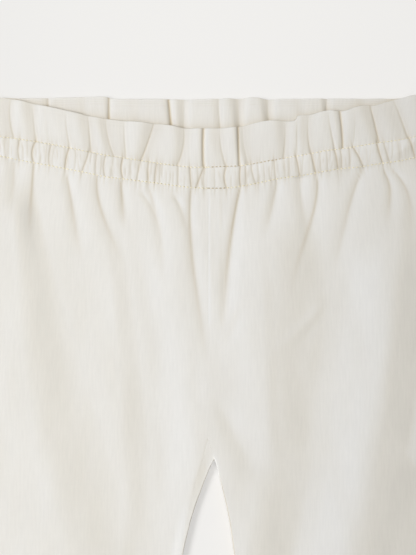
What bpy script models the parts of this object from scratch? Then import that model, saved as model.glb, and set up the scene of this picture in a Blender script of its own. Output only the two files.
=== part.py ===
"""A child's pull-on trousers in cream stretch denim, laid flat on their back.

The waist is cut in one with the legs: the top of each panel is a frill, and under it two rows of
stitching hold an elastic that gathers the cloth. There are four panels, a front and a back for each leg.
Left and right are the wearer's, so the left leg lies at +X when the front faces up.

Metres, +Z up, +Y towards the waist, origin on the floor in the middle of the garment's footprint. The
tables are in millimetres: x runs across from the centre seam, and down runs from the top edge of the back
frill towards the hems.
"""
import math
from collections import namedtuple

import bmesh
import bpy

MM = 0.001
COLLECTION = "frill_waist_trousers"

LENGTH = 585.0  # top edge of the back frill to the hems
WALL = 1.2  # denim with its turnings, as one wall
SEAM_GAP = 0.3  # between neighbouring panels
FRONT_FLOOR = WALL + SEAM_GAP  # the underside of a front where it lies on the back
CROTCH_DOWN = 188.0  # where the four seams meet
CROTCH_FADE = 232.0  # by here the fronts round down to their inseams in full
HEM_TILT = 11.0  # the outer corner of a hem lies this much higher than the inner one
HEM_DEPTH = 13.0
HEM_RISE = 0.5  # the turned-up cloth stands this proud

FRILL_LIFT = 4.0  # how far the front frill's free edge stands up between its valleys
BACK_FRILL_LIFT = 2.8
CASING_PUFF = 2.3  # the cloth swells this much between the two stitched rows
STITCH_PINCH = 0.6  # and this much on them
CREASE_WIDTH = 1.15
CREASE_CUT = 0.95  # a full-depth crease takes this share of the swelling away
WAIST_ROLL = 9.0  # the fronts round down to the side seams over this width at the waist
HIP_ROLL = 24.0
LEG_ROLL = 18.0
ALLOWANCE_WIDTH = 7.7  # the seam allowance that shows through, on the left front
ALLOWANCE_RISE = 0.45
ALLOWANCE_END = 127.0
PLEAT_DOWN = 1.2  # a frill's edge dips this much at a full-depth valley
ROW_NARROWING = 0.6  # a valley is this share of its width where it reaches the stitching

CLOTH_COLOUR = (0.86, 0.84, 0.79, 1.0)
CLOTH_ROUGHNESS = 0.92

# Half of the width at the side seams.
Side = namedtuple("Side", "down half_width")
SIDES = [
    Side(0, 125.0), Side(22, 122.5), Side(33, 122.5), Side(45, 125.5), Side(70, 129.5),
    Side(100, 131.8), Side(140, 133.6), Side(200, 135.0), Side(252, 136.5), Side(330, 140.5),
    Side(420, 146.5), Side(500, 153.0), Side(LENGTH, 160.0),
]

# The inside edges below the crossing of the seams. The backs reach further in there, round the inside of
# the legs.
Inseam = namedtuple("Inseam", "down front_right back_right back_left front_left")
INSEAMS = [
    Inseam(CROTCH_DOWN, 0.0, 0.0, 0.0, 0.0),
    Inseam(198.5, -2.7, 4.0, 4.4, 3.2),
    Inseam(203.5, -4.2, 1.6, 4.8, 4.6),
    Inseam(215.0, -7.6, -3.0, 7.6, 7.6),
    Inseam(232.0, -11.2, -8.9, 11.4, 11.4),
    Inseam(252.0, -15.0, -13.7, 14.4, 14.4),
    Inseam(330.0, -30.0, -29.6, 26.0, 26.0),
    Inseam(420.0, -42.5, -42.5, 38.5, 38.5),
    Inseam(500.0, -50.6, -50.6, 48.6, 48.6),
    Inseam(LENGTH, -58.5, -58.5, 57.5, 57.5),
]

# The front's frill edge and its two stitched rows, which sag towards the middle.
Waist = namedtuple("Waist", "x frill_edge upper_row lower_row")
WAIST = [
    Waist(-130, 0.4, 20.5, 31.0), Waist(-114, 0.6, 22.5, 33.0), Waist(-105, 1.9, 23.5, 34.9),
    Waist(-85, 6.3, 26.8, 38.6), Waist(-65, 10.6, 30.8, 42.5), Waist(-45, 13.5, 34.3, 45.7),
    Waist(-25, 15.4, 37.3, 48.3), Waist(-8, 17.1, 39.2, 50.3), Waist(8, 17.1, 38.8, 50.6),
    Waist(25, 14.9, 37.3, 48.3), Waist(45, 13.3, 33.7, 44.4), Waist(65, 8.4, 30.0, 41.1),
    Waist(85, 4.8, 27.2, 38.6), Waist(105, 1.2, 24.3, 35.6), Waist(114, 0.6, 22.5, 33.8),
    Waist(130, 0.4, 20.5, 31.0),
]

# The valleys between the frill's waves, from its free edge down to the upper row of stitching.
Valley = namedtuple("Valley", "x_edge x_row width depth")
FRONT_VALLEYS = [
    Valley(-119.0, -116.5, 2.5, 0.5), Valley(-109.7, -106.9, 3.6, 0.6), Valley(-96.3, -95.5, 3.0, 0.5),
    Valley(-85.3, -84.8, 3.2, 0.4), Valley(-76.7, -75.9, 2.4, 0.75), Valley(-66.0, -64.6, 2.2, 0.8),
    Valley(-56.0, -52.0, 2.4, 0.7), Valley(-45.0, -45.0, 2.6, 0.5), Valley(-30.0, -36.5, 1.7, 0.9),
    Valley(-13.4, -17.6, 3.2, 0.9), Valley(-2.9, -2.9, 1.6, 1.0), Valley(6.6, 9.0, 2.4, 0.5),
    Valley(15.6, 16.8, 1.6, 1.0), Valley(22.0, 22.4, 2.2, 0.5), Valley(41.8, 41.3, 3.2, 0.7),
    Valley(48.6, 48.8, 1.3, 0.6), Valley(54.6, 57.0, 2.2, 0.7), Valley(66.0, 68.0, 2.0, 0.5),
    Valley(72.4, 73.2, 1.8, 1.0), Valley(90.0, 94.4, 2.0, 0.95), Valley(103.4, 111.0, 3.0, 0.7),
    Valley(118.5, 118.5, 2.0, 0.4),
]
BACK_VALLEYS = [
    Valley(-117.0, -117.0, 2.2, 0.4), Valley(-104.0, -104.0, 2.4, 0.4), Valley(-88.6, -88.6, 1.8, 0.8),
    Valley(-68.2, -68.2, 2.6, 0.4), Valley(-54.5, -54.5, 1.7, 1.0), Valley(-38.5, -38.5, 2.6, 0.3),
    Valley(-21.7, -20.4, 1.9, 1.0), Valley(-13.2, -13.2, 2.2, 0.6), Valley(5.5, 6.6, 1.8, 0.8),
    Valley(16.5, 17.0, 2.4, 0.7), Valley(32.5, 32.5, 1.9, 0.8), Valley(50.6, 50.6, 2.6, 0.3),
    Valley(65.0, 65.5, 2.4, 0.95), Valley(84.7, 84.7, 2.6, 0.3), Valley(102.0, 102.0, 2.4, 0.4),
    Valley(117.0, 117.0, 2.2, 0.4),
]

# The gathers of the casing, each a crease from the upper row of stitching to the lower one.
Crease = namedtuple("Crease", "x_upper x_lower depth")
CREASES = [
    Crease(-118.0, -118.5, 0.7), Crease(-111.0, -111.0, 0.5), Crease(-103.6, -103.9, 0.6),
    Crease(-94.7, -95.9, 0.9), Crease(-85.4, -86.6, 0.7), Crease(-76.2, -78.8, 0.9),
    Crease(-65.5, -69.3, 0.7), Crease(-60.8, -61.8, 0.6), Crease(-56.1, -56.7, 0.6),
    Crease(-51.7, -52.1, 0.4), Crease(-46.8, -46.8, 0.9), Crease(-37.4, -38.8, 0.6),
    Crease(-32.4, -33.2, 0.7), Crease(-27.2, -28.2, 0.7), Crease(-16.2, -16.2, 0.5),
    Crease(-9.9, -9.4, 0.9), Crease(-2.6, -4.6, 0.9), Crease(10.0, 9.8, 0.9), Crease(17.6, 17.8, 0.9),
    Crease(21.0, 21.6, 0.6), Crease(25.0, 26.6, 0.6), Crease(36.8, 37.4, 0.6), Crease(43.4, 44.6, 0.5),
    Crease(48.6, 50.4, 0.9), Crease(57.0, 59.2, 0.9), Crease(61.8, 63.2, 0.4), Crease(65.6, 66.8, 0.4),
    Crease(69.6, 71.0, 0.9), Crease(73.4, 74.6, 0.7), Crease(78.4, 79.6, 0.6), Crease(83.4, 85.6, 0.9),
    Crease(93.0, 95.8, 1.0), Crease(98.0, 100.2, 0.7), Crease(104.6, 106.6, 0.5), Crease(110.6, 113.2, 0.9),
    Crease(118.0, 118.5, 0.7),
]

# How far the fronts puff up above the backs, by level: 2 is the lower stitched row, 3 the crotch, 4 the hem.
Puff = namedtuple("Puff", "level rise")
PUFFS = [Puff(2.0, 1.9), Puff(2.2, 3.2), Puff(2.6, 3.4), Puff(3.0, 2.6), Puff(3.3, 2.1), Puff(4.0, 1.3)]

# The largest troughs below the waist, running down from the gathers, out from the crotch, or across a leg.
Fold = namedtuple("Fold", "x_start down_start x_mid down_mid x_end down_end width depth")
FOLDS = [
    Fold(-95.3, 38, -97.0, 95, -69.0, 222, 6.0, 1.7), Fold(-78.7, 43, -74.8, 54, -71.0, 66, 4.0, 0.8),
    Fold(-62.0, 44, -52.8, 80, -37.0, 150, 6.0, 1.5), Fold(-47.9, 47, -46.2, 57, -45.0, 70, 4.0, 1.0),
    Fold(-37.4, 50, -26.0, 83, -19.8, 100, 4.5, 0.8), Fold(-19.8, 51, -15.4, 65, -9.9, 76, 4.5, 1.0),
    Fold(-9.2, 51, -9.1, 79, -2.5, 138, 5.0, 2.0), Fold(17.4, 51, 10.7, 86, 6.0, 123, 3.6, 2.2),
    Fold(35.8, 48, 33.0, 63, 29.7, 75, 4.5, 0.8), Fold(58.0, 43, 55.0, 75, 36.7, 132, 6.0, 2.0),
    Fold(85.5, 41, 78.0, 60, 67.0, 96, 5.0, 1.4), Fold(96.3, 38, 100.7, 59, 100.0, 69, 4.5, 1.0),
    Fold(3.4, 166, 13.8, 188, 25.0, 212, 5.5, 1.6), Fold(39.6, 150, 45.7, 182, 31.0, 256, 7.0, 1.3),
    Fold(99.0, 212, 88.6, 234, 76.0, 258, 7.0, 1.1), Fold(-23.1, 205, -31.9, 219, -39.0, 232, 6.0, 1.0),
    Fold(-118.0, 300, -104.0, 345, -80.0, 382, 7.0, 1.1), Fold(-50.0, 322, -66.0, 360, -92.0, 405, 7.0, 1.0),
    Fold(112.0, 312, 96.0, 352, 72.0, 396, 7.0, 1.1), Fold(52.0, 336, 68.0, 380, 96.0, 428, 7.0, 1.0),
    Fold(-128.0, 452, -110.0, 486, -92.0, 520, 7.0, 0.8), Fold(122.0, 446, 108.0, 486, 86.0, 524, 7.0, 0.8),
]

# The rows of points down a panel, as levels, with the steps across where the waves don't set them.
FRILL_LEVELS = [0.0, 0.24, 0.54, 0.85]
CASING_LEVELS = [1.0, 1.28, 1.72, 2.0]
Band = namedtuple("Band", "first last rows steps")
FRONT_BANDS = [Band(2.07, 3.0, 12, 23), Band(3.025, 3.3, 10, 19), Band(3.35, 3.95, 13, 12)]
HEM_LEVELS = [4.0 - HEM_DEPTH / (LENGTH - CROTCH_DOWN), 4.0 - (HEM_DEPTH - 1.5) / (LENGTH - CROTCH_DOWN), 4.0]
BACK_FRILL_SHARES = [0.0, 0.35, 0.7, 0.96]
BACK_BANDS = [Band(2.0, 3.0, 4, 4), Band(3.02, 3.3, 8, 4), Band(3.4, 4.0, 6, 3)]


def mix(a, b, share):
    return a + (b - a) * share


def ease(value):
    """0 up to 0, 1 from 1 on, and smooth between."""
    value = min(max(value, 0.0), 1.0)
    return value * value * (3.0 - 2.0 * value)


def curve_through(rows, key, column, at):
    """A smooth curve through one column of a table, read at a value of its key column."""
    keys = [getattr(row, key) for row in rows]
    values = [getattr(row, column) for row in rows]
    if at <= keys[0]:
        return values[0]
    if at >= keys[-1]:
        return values[-1]
    i = max(k for k in range(len(keys) - 1) if keys[k] <= at)
    span = keys[i + 1] - keys[i]
    share = (at - keys[i]) / span

    def slope(k):
        low, high = max(k - 1, 0), min(k + 1, len(keys) - 1)
        return (values[high] - values[low]) / (keys[high] - keys[low])

    return (
        values[i] * (2 * share**3 - 3 * share**2 + 1)
        + values[i + 1] * (3 * share**2 - 2 * share**3)
        + slope(i) * span * (share**3 - 2 * share**2 + share)
        + slope(i + 1) * span * (share**3 - share**2)
    )


def half_width(down):
    return curve_through(SIDES, "down", "half_width", down)


def inner_edge(panel, down):
    """The x of a panel's centre seam, or of its inseam below the crossing."""
    clear = SEAM_GAP / 2 * panel.side
    if down <= CROTCH_DOWN:
        return clear
    return curve_through(INSEAMS, "down", panel.name, down) + clear


def hem_down(x):
    """The hem of a leg, square to the leg and so tilted on the floor."""
    inner, outer = INSEAMS[-1].front_left, SIDES[-1].half_width
    return LENGTH - HEM_TILT * (abs(x) - inner) / (outer - inner)


def down_at(level, x):
    """How far down a level lies: 0 the frill's edge, 1 and 2 the stitched rows, 3 the crotch, 4 the hem."""
    if level < 2.0:
        row = curve_through(WAIST, "x", "upper_row", x)
        if level < 1.0:
            return mix(curve_through(WAIST, "x", "frill_edge", x), row, level)
        return mix(row, curve_through(WAIST, "x", "lower_row", x), level - 1.0)
    if level < 3.0:
        return mix(curve_through(WAIST, "x", "lower_row", x), CROTCH_DOWN, level - 2.0)
    return mix(CROTCH_DOWN, hem_down(x), level - 3.0)


def outer_end(level, side):
    """The x where a level meets the side seam."""
    x = half_width(CROTCH_DOWN) * side
    for _ in range(6):
        x = half_width(down_at(level, x)) * side
    return x


def inner_end(level, panel):
    """The x where a level meets the centre seam or the inseam."""
    x = 0.0
    for _ in range(6):
        x = inner_edge(panel, down_at(level, x))
    return x


def waves(centres, x):
    """How deep the valleys cut at x, 0 to 1, from (place, width, depth) of each."""
    shallow = 1.0
    for place, width, depth in centres:
        shallow *= 1.0 - depth * math.exp(-(((x - place) / width) ** 2))
    return 1.0 - shallow


def frill_centres(valleys, share_down):
    """The valleys' places at a share of the way from the frill's edge down to its stitching."""
    return [
        (mix(v.x_edge, v.x_row, share_down), v.width * mix(1.0, ROW_NARROWING, share_down), v.depth)
        for v in valleys
    ]


def casing_centres(share_down):
    return [(mix(c.x_upper, c.x_lower, share_down), CREASE_WIDTH, c.depth) for c in CREASES]


def fold_depth(fold, x, down):
    """How deep one trough is at a point."""
    along = (down - fold.down_start) / (fold.down_end - fold.down_start)
    if not 0.0 <= along <= 1.0:
        return 0.0
    bend = (fold.down_mid - fold.down_start) / (fold.down_end - fold.down_start)
    straight = mix(fold.x_start, fold.x_end, along)
    bow = (fold.x_mid - mix(fold.x_start, fold.x_end, bend)) / (bend * (1.0 - bend))
    centre = straight + bow * along * (1.0 - along)
    opening = 1.0 + 0.5 * along
    starts_at_gathers = fold.down_start < CROTCH_DOWN / 3
    taper = ease((1.0 - along) / 0.45) * (1.0 if starts_at_gathers else ease(along / 0.35))
    return fold.depth * taper * math.exp(-(((x - centre) / (fold.width * opening)) ** 2))


def edge_share(panel, x, level, down):
    """0 at a side seam or inseam, 1 further in than the roll, round between."""
    roll = mix(WAIST_ROLL, HIP_ROLL, ease((level - 2.0) / 0.5))
    roll = mix(roll, LEG_ROLL, ease(level - 3.0))
    inset = abs(outer_end(level, panel.side) - x)
    if down > CROTCH_DOWN:
        away = (CROTCH_FADE - down) / (CROTCH_FADE - CROTCH_DOWN)
        inset = min(inset, abs(x - inner_end(level, panel)) + roll * ease(away))
    reach = min(inset / roll, 1.0)
    return math.sqrt(max(0.0, 1.0 - (1.0 - reach) ** 2))


def front_rise(panel, x, level):
    """How far a front's outer face stands above where it lies flat on the back."""
    down = down_at(level, x)
    roll = edge_share(panel, x, level, down)
    if level <= 1.0:
        lift = mix(STITCH_PINCH, FRILL_LIFT, ease((1.0 - level) / 0.8))
        return lift * (1.0 - waves(frill_centres(FRONT_VALLEYS, level), x)) * roll
    if level < 2.0:
        swell = math.sin(math.pi * (level - 1.0)) ** 0.7
        gathers = waves(casing_centres(level - 1.0), x)
        return mix(STITCH_PINCH, CASING_PUFF, swell) * (1.0 - CREASE_CUT * gathers) * roll
    rise = curve_through(PUFFS, "level", "rise", level) * ease((level - 2.0) / 0.12 + 0.3)
    rise -= sum(fold_depth(fold, x, down) for fold in FOLDS)
    rise = max(rise, 0.0) * roll
    if 0.0 <= x <= ALLOWANCE_WIDTH and down < ALLOWANCE_END:
        rise += ALLOWANCE_RISE
    return rise + HEM_RISE * ease((level - HEM_LEVELS[0]) / (HEM_LEVELS[1] - HEM_LEVELS[0]))


def back_rise(x, share):
    """How far a back's frill stands off the floor at a share of the way down to where the front covers it."""
    edge = curve_through(WAIST, "x", "frill_edge", x)
    lift = BACK_FRILL_LIFT * ease(edge / 9.0) * (1.0 - ease(share))
    return lift * (1.0 - waves(frill_centres(BACK_VALLEYS, share), x))


def columns_at(centres, ends):
    """Places across a row that keep every valley: its middle, its two flanks and the crest before it."""
    low, high = min(ends), max(ends)
    inside = sorted(c for c in centres if low + 1.5 < c[0] < high - 1.5)
    places = [low, low + 1.2]
    before = low + 1.2
    for k, (place, width, _) in enumerate(inside):
        after = inside[k + 1][0] if k + 1 < len(inside) else high - 1.2
        flank_left = min(width, 0.4 * (place - before))
        flank_right = min(width, 0.4 * (after - place))
        if k:
            places.append(mix(before, place, 0.5))
        places += [place - flank_left, place, place + flank_right]
        before = place
    places += [high - 1.2, high]
    spaced = [places[0]]
    for place in places[1:-1]:
        if place - spaced[-1] > 0.45 and high - place > 0.45:
            spaced.append(place)
    return spaced + [high]


def even_columns(ends, steps, roll):
    """Places across a row, close together at the rounded edge or edges and even between."""
    low, high = min(ends), max(ends)
    edge = [1.3, 4.2] if roll else []
    inner = [mix(low + 9.0, high - 9.0, k / steps) for k in range(steps + 1)]
    return [low] + [low + e for e in edge] + inner + [high - e for e in reversed(edge)] + [high]


Panel = namedtuple("Panel", "name side")
Point = namedtuple("Point", "x down top bottom")
SLOPE_STEP = 0.4  # how far aside the surface is read to find its slope


def slanted(rise, beside, apart):
    """The upright height of a wall WALL thick where the cloth climbs from one rise to the one beside it."""
    return WALL * math.hypot(1.0, (beside - rise) / apart)


def front_point(panel, x, level, inner, outer):
    """A point of a front with the heights of its outer and inner faces."""
    rise = front_rise(panel, x, level)
    apart = SLOPE_STEP if x < (inner + outer) / 2 else -SLOPE_STEP
    top = FRONT_FLOOR + WALL + rise
    bottom = max(FRONT_FLOOR, top - slanted(rise, front_rise(panel, x + apart, level), apart))
    down = down_at(level, x)
    if level == 0.0:
        down += PLEAT_DOWN * waves(frill_centres(FRONT_VALLEYS, 0.0), x)
    return Point(x, down, top, bottom)


def front_rows(panel):
    """Every row of a front, from its frill edge to its hem."""
    rows = []
    for level in FRILL_LEVELS + CASING_LEVELS:
        ends = inner_end(level, panel), outer_end(level, panel.side)
        in_frill = level < CASING_LEVELS[0]
        centres = frill_centres(FRONT_VALLEYS, level) if in_frill else casing_centres(level - 1.0)
        places = columns_at(centres, ends)
        rows.append([front_point(panel, x, level, *ends) for x in places])
    for band in FRONT_BANDS:
        for k in range(band.rows):
            level = mix(band.first, band.last, k / (band.rows - 1))
            ends = inner_end(level, panel), outer_end(level, panel.side)
            rows.append([front_point(panel, x, level, *ends) for x in even_columns(ends, band.steps, True)])
    for level in HEM_LEVELS:
        ends = inner_end(level, panel), outer_end(level, panel.side)
        places = even_columns(ends, FRONT_BANDS[-1].steps, True)
        rows.append([front_point(panel, x, level, *ends) for x in places])
    return rows


def back_frill_point(x, share):
    """A point of a back's frill, a share of the way down to where the front's frill covers it."""
    rise = back_rise(x, share)
    top = WALL + rise
    bottom = max(0.0, top - slanted(rise, back_rise(x + SLOPE_STEP, share), SLOPE_STEP))
    dip = PLEAT_DOWN * waves(frill_centres(BACK_VALLEYS, 0.0), x)
    return Point(x, mix(dip, down_at(0.0, x), share), top, bottom)


def back_rows(panel):
    """Every row of a back. Its frill waves above the front's edge, and the rest lies flat on the floor."""
    rows = []
    for share in BACK_FRILL_SHARES:
        ends = inner_edge(panel, 0.0), half_width(0.0) * panel.side
        places = columns_at(frill_centres(BACK_VALLEYS, share), ends)
        rows.append([back_frill_point(x, share) for x in places])
    for band in BACK_BANDS:
        for k in range(band.rows):
            level = mix(band.first, band.last, k / (band.rows - 1))
            ends = inner_end(level, panel), outer_end(level, panel.side)
            places = even_columns(ends, band.steps, False)
            rows.append([Point(x, down_at(level, x), WALL, 0.0) for x in places])
    return rows


def join_rows(mesh, upper, lower):
    """Fills the strip between two rows of vertices, whose numbers across may differ."""
    i = j = 0
    while i < len(upper) - 1 or j < len(lower) - 1:
        step_upper = j == len(lower) - 1 or (
            i < len(upper) - 1 and upper[i + 1].co.x + upper[i].co.x <= lower[j + 1].co.x + lower[j].co.x
        )
        if step_upper:
            mesh.faces.new((upper[i], lower[j], upper[i + 1]))
            i += 1
        else:
            mesh.faces.new((upper[i], lower[j], lower[j + 1]))
            j += 1


def place(point, height):
    """A garment point in metres about the origin."""
    return (point.x * MM, (LENGTH / 2 - point.down) * MM, height * MM)


def make_panel(panel, rows, material, collection):
    """Lofts a panel's inner face through its rows, and extrudes that up to the outer face."""
    mesh = bmesh.new()
    tops = {}
    lines = []
    for row in rows:
        line = []
        for point in row:
            vertex = mesh.verts.new(place(point, point.bottom))
            tops[vertex.co.to_tuple(7)] = point
            line.append(vertex)
        lines.append(line)
    for upper, lower in zip(lines, lines[1:]):
        join_rows(mesh, upper, lower)
    raised = bmesh.ops.extrude_face_region(mesh, geom=list(mesh.faces))
    for item in raised["geom"]:
        if isinstance(item, bmesh.types.BMVert):
            point = tops[item.co.to_tuple(7)]
            item.co = place(point, point.top)
    data = bpy.data.meshes.new(panel.name)
    mesh.to_mesh(data)
    mesh.free()
    data.materials.append(material)
    data.shade_smooth()
    data.set_sharp_from_angle(angle=math.radians(50))
    panel_object = bpy.data.objects.new(panel.name, data)
    collection.objects.link(panel_object)
    return panel_object


def cloth_material(name):
    """Cream denim with a faint softness at grazing angles."""
    material = bpy.data.materials.new(name)
    material.use_nodes = True
    shader = material.node_tree.nodes["Principled BSDF"]
    shader.inputs["Base Color"].default_value = CLOTH_COLOUR
    shader.inputs["Roughness"].default_value = CLOTH_ROUGHNESS
    shader.inputs["Metallic"].default_value = 0.0
    shader.inputs["Sheen Weight"].default_value = 0.25
    return material


def clear_scene():
    for leftover in list(bpy.context.scene.objects):
        bpy.data.objects.remove(leftover, do_unlink=True)


def main():
    clear_scene()
    collection = bpy.data.collections.new(COLLECTION)
    bpy.context.scene.collection.children.link(collection)
    for name, side, rows_of in (
        ("front_left", 1, front_rows),
        ("front_right", -1, front_rows),
        ("back_left", 1, back_rows),
        ("back_right", -1, back_rows),
    ):
        panel = Panel(name, side)
        make_panel(panel, rows_of(panel), cloth_material(name + "_denim"), collection)


main()
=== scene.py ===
"""A child's pull-on trousers in cream stretch denim, laid flat with the front up.

Each of the four panels is a thin closed shell of denim, lofted down the garment from its frill through the
gathered casing to the hem. The tables are in millimetres: x runs across from the centre seam, and down runs
from the top edge of the back frill towards the hems. Left and right are the wearer's.
"""
import math
from collections import namedtuple

import bmesh
import bpy
import numpy as np
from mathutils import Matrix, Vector


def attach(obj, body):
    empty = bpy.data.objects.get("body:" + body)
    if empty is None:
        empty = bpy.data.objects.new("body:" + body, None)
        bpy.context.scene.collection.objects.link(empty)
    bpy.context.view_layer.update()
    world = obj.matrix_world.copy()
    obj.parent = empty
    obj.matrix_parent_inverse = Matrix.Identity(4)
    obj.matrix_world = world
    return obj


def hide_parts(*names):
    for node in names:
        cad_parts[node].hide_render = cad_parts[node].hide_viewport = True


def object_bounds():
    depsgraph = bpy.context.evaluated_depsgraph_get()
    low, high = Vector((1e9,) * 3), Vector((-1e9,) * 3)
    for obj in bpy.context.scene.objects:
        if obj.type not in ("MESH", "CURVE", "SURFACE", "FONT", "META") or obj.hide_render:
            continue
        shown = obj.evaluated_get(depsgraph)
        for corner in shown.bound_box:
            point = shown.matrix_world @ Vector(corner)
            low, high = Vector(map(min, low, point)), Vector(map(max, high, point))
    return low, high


bl_info = {
    "name": "Frilled pull-on trousers",
    "version": (1, 0, 0),
    "blender": (4, 5, 0),
    "location": "View3D > Sidebar > Trousers",
    "description": "Denim, gathers, stitches and stage for a child's trousers laid flat",
    "category": "Object",
}

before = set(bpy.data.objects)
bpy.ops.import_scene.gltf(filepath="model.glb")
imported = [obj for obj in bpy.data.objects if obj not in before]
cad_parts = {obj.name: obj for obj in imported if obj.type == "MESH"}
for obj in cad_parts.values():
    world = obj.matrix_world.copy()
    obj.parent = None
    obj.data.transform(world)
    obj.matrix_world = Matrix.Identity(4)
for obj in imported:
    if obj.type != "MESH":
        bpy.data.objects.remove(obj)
CAD_LOW, CAD_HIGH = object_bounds()

MM = 0.001
BODY = "root"
LENGTH = (CAD_HIGH.y - CAD_LOW.y) / MM
HEM_HALF_WIDTH = (CAD_HIGH.x - CAD_LOW.x) / MM / 2 + 0.9

WALL = 1.2  # the height that a layer of cloth takes up
SEAM_GAP = 0.3
FRONT_FLOOR = WALL + SEAM_GAP  # the underside of a front where it lies on the back
CROTCH_DOWN = 188.0
HEM_TILT = 11.0  # the outer corner of a hem lies this much higher than the inner one
LEG_LENGTH = 397.0  # from the crotch to the hem
FRILL_HEIGHT = 22.0
HEM_LEVEL = 3.967  # where the cloth turned up at the hem, 13 mm deep, begins to show
HEM_RISE = 0.5
RIGHT_ROLL = 13.0  # how far from the wearer's right side seam the front has reached its height
LEFT_ROLL = 38.0  # the same at the left side seam
WAIST_ROLL = 9.0  # and at both of them in the waist
ALLOWANCE_WIDTH = 7.7  # the centre seam's allowance, which shows through
ALLOWANCE_RISE = 0.12
ALLOWANCE_END = 127.0
SEAM_CLEARANCE = 0.02  # the fronts meet this close at the centre seam
EDGE_ROUND = 0.45  # the radius of a turned edge
TURNED_EDGE = 2.6  # the frills' edges are turned in and pressed this deep
SIDE_DROP = 3.2  # within this of a side seam the front curls down to the floor
INSEAM_DROP = 0.3  # within this of an inseam
DROP_TOP = 0.6  # the height of the cloth's outer face at such an edge
LOW_EDGE = 0.7  # what is left of the front's rise beside the wearer's right inseam
LOW_WIDTH = 7.0  # how far from there the rise is back
INSEAM_PAINTED_SHADE = 0.75  # how much painted crease shade the wearer's left inseam has, as a dark line along its turned edge
INSEAM_PAINTED_SHADE_WIDTH = 0.9  # in a line this wide
SEAM_PAINTED_SHADE = 0.14  # and how much painted shade the seam has where the back comes round the right inseam
FLATTEST = -0.8  # the rise where the front is pressed onto the back
FOLD_WIDENED = 1.7  # how much wider a fold's right side is than its left one
BACK_INSET = 2.0  # how far a front's curled edge reaches past the back's
STITCH_PITCH = 2.1
STITCH_PINCH = 0.45  # half the width of the dent that a row of stitches makes
SEWING_INSET = 0.4  # how far from a front's edge its stitched rows begin
SEWING_STEP = 0.35  # how far apart the points along them are
THREAD_SUNK = 0.02  # and how far their middle lies below the cloth's face

# Painted light and shade: the cloth is coloured cooler where it leans towards the light, at its left, and
# warmer where it leans away.
PAINTED_LEAN_GAIN = 4.0
PAINTED_LIGHT_TINT = (0.98, 0.9935, 1.0265)
PAINTED_SHADE_TINT = (1.0165, 1.0045, 0.979)

# The stage, in metres. The spread is in degrees, and the sensor and the height in focus are in millimetres.
FLOOR_REACH = 4.0
FLOOR_SUNK = 0.00005
GLOW_COLOUR = (1.0, 0.99, 0.975, 1.0)
SKY_COLOUR = (1.0, 0.985, 0.955, 1.0)
KEY_SIZE = (1.1, 0.32)
KEY_SPREAD = 46.0
KEY_AIM = (-0.028, 0.165, 0.0)
SENSOR_WIDTH = 36.0
FOCUS_HEIGHT = 4.0


def rows_of(kind, rows):
    """A table's rows, each under its kind's column names."""
    return [kind(*row) for row in rows]


# Half of the width at the side seams.
Side = namedtuple("Side", "down half_width")
SIDES = rows_of(Side, [
    (0, 125), (22, 122.5), (33, 122.5), (45, 125.5), (70, 129.5), (100, 131.8), (140, 133.6), (200, 135),
    (252, 136.5), (330, 140.5), (420, 146.5), (500, 153), (LENGTH, HEM_HALF_WIDTH),
])

# The inside edges below the crossing of the seams.
Inseam = namedtuple("Inseam", "down front_right back_right back_left front_left")
INSEAMS = rows_of(Inseam, [
    (CROTCH_DOWN, 0, 0, 0, 0),
    (198.5, -2.7, 4, 4.4, 3.2),
    (203.5, -4.2, 1.6, 4.8, 4.6),
    (215, -7.6, -3, 7.6, 7.6),
    (232, -11.2, -8.9, 11.4, 11.4),
    (252, -15, -13.7, 14.4, 14.4),
    (330, -30, -29.6, 26, 26),
    (420, -42.5, -42.5, 38.5, 38.5),
    (500, -50.6, -50.6, 48.6, 48.6),
    (LENGTH, -58.5, -58.5, 57.5, 57.5),
])

# The frill edges and the two stitched rows, which sag towards the middle.
Waist = namedtuple("Waist", "x back_edge frill_edge upper_row lower_row")
WAIST = rows_of(Waist, [
    (-130, 0.4, 0.2, 20.5, 31), (-114, 0.8, 0.6, 22.5, 33), (-105, 1.1, 1.9, 23.5, 34.9),
    (-85, 0.9, 6.3, 26.8, 38.6), (-65, 0.3, 10.6, 30.8, 42.5), (-56, 0.3, 12, 32.6, 44.4),
    (-52, 1.3, 12.6, 33.2, 44.9), (-45, 1.4, 13.5, 34.3, 45.7), (-25, 1.4, 15.2, 37.3, 48.3),
    (-12, 1.6, 17.3, 38.9, 50), (-3, 1.5, 17.6, 39.2, 50.6), (8, 1.1, 17.4, 38.8, 50.6),
    (16, 1, 16.7, 38.5, 49.9), (25, 0.5, 14.8, 37.3, 48.3), (32, 1.3, 13.6, 35.9, 46.8),
    (40, 1.4, 13.3, 34.6, 45.2), (48.2, 1.4, 13.2, 33.1, 44.1), (49.2, 1.4, 10.9, 33, 44),
    (57, 1.2, 9.8, 31.6, 42.7), (66, 1.1, 7.8, 29.9, 41), (75, 1.3, 8, 28.9, 39.7),
    (81, 1.3, 6, 27.8, 39.2), (86, 1.3, 4.7, 27, 38.5), (92, 1.3, 4.6, 26, 37.5), (98, 1.3, 3, 25.2, 36.7),
    (106, 1, 1, 24.1, 35.5), (114, 0.4, -0.7, 22.5, 33.8), (130, 0.3, -1, 20.5, 31),
])

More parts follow.
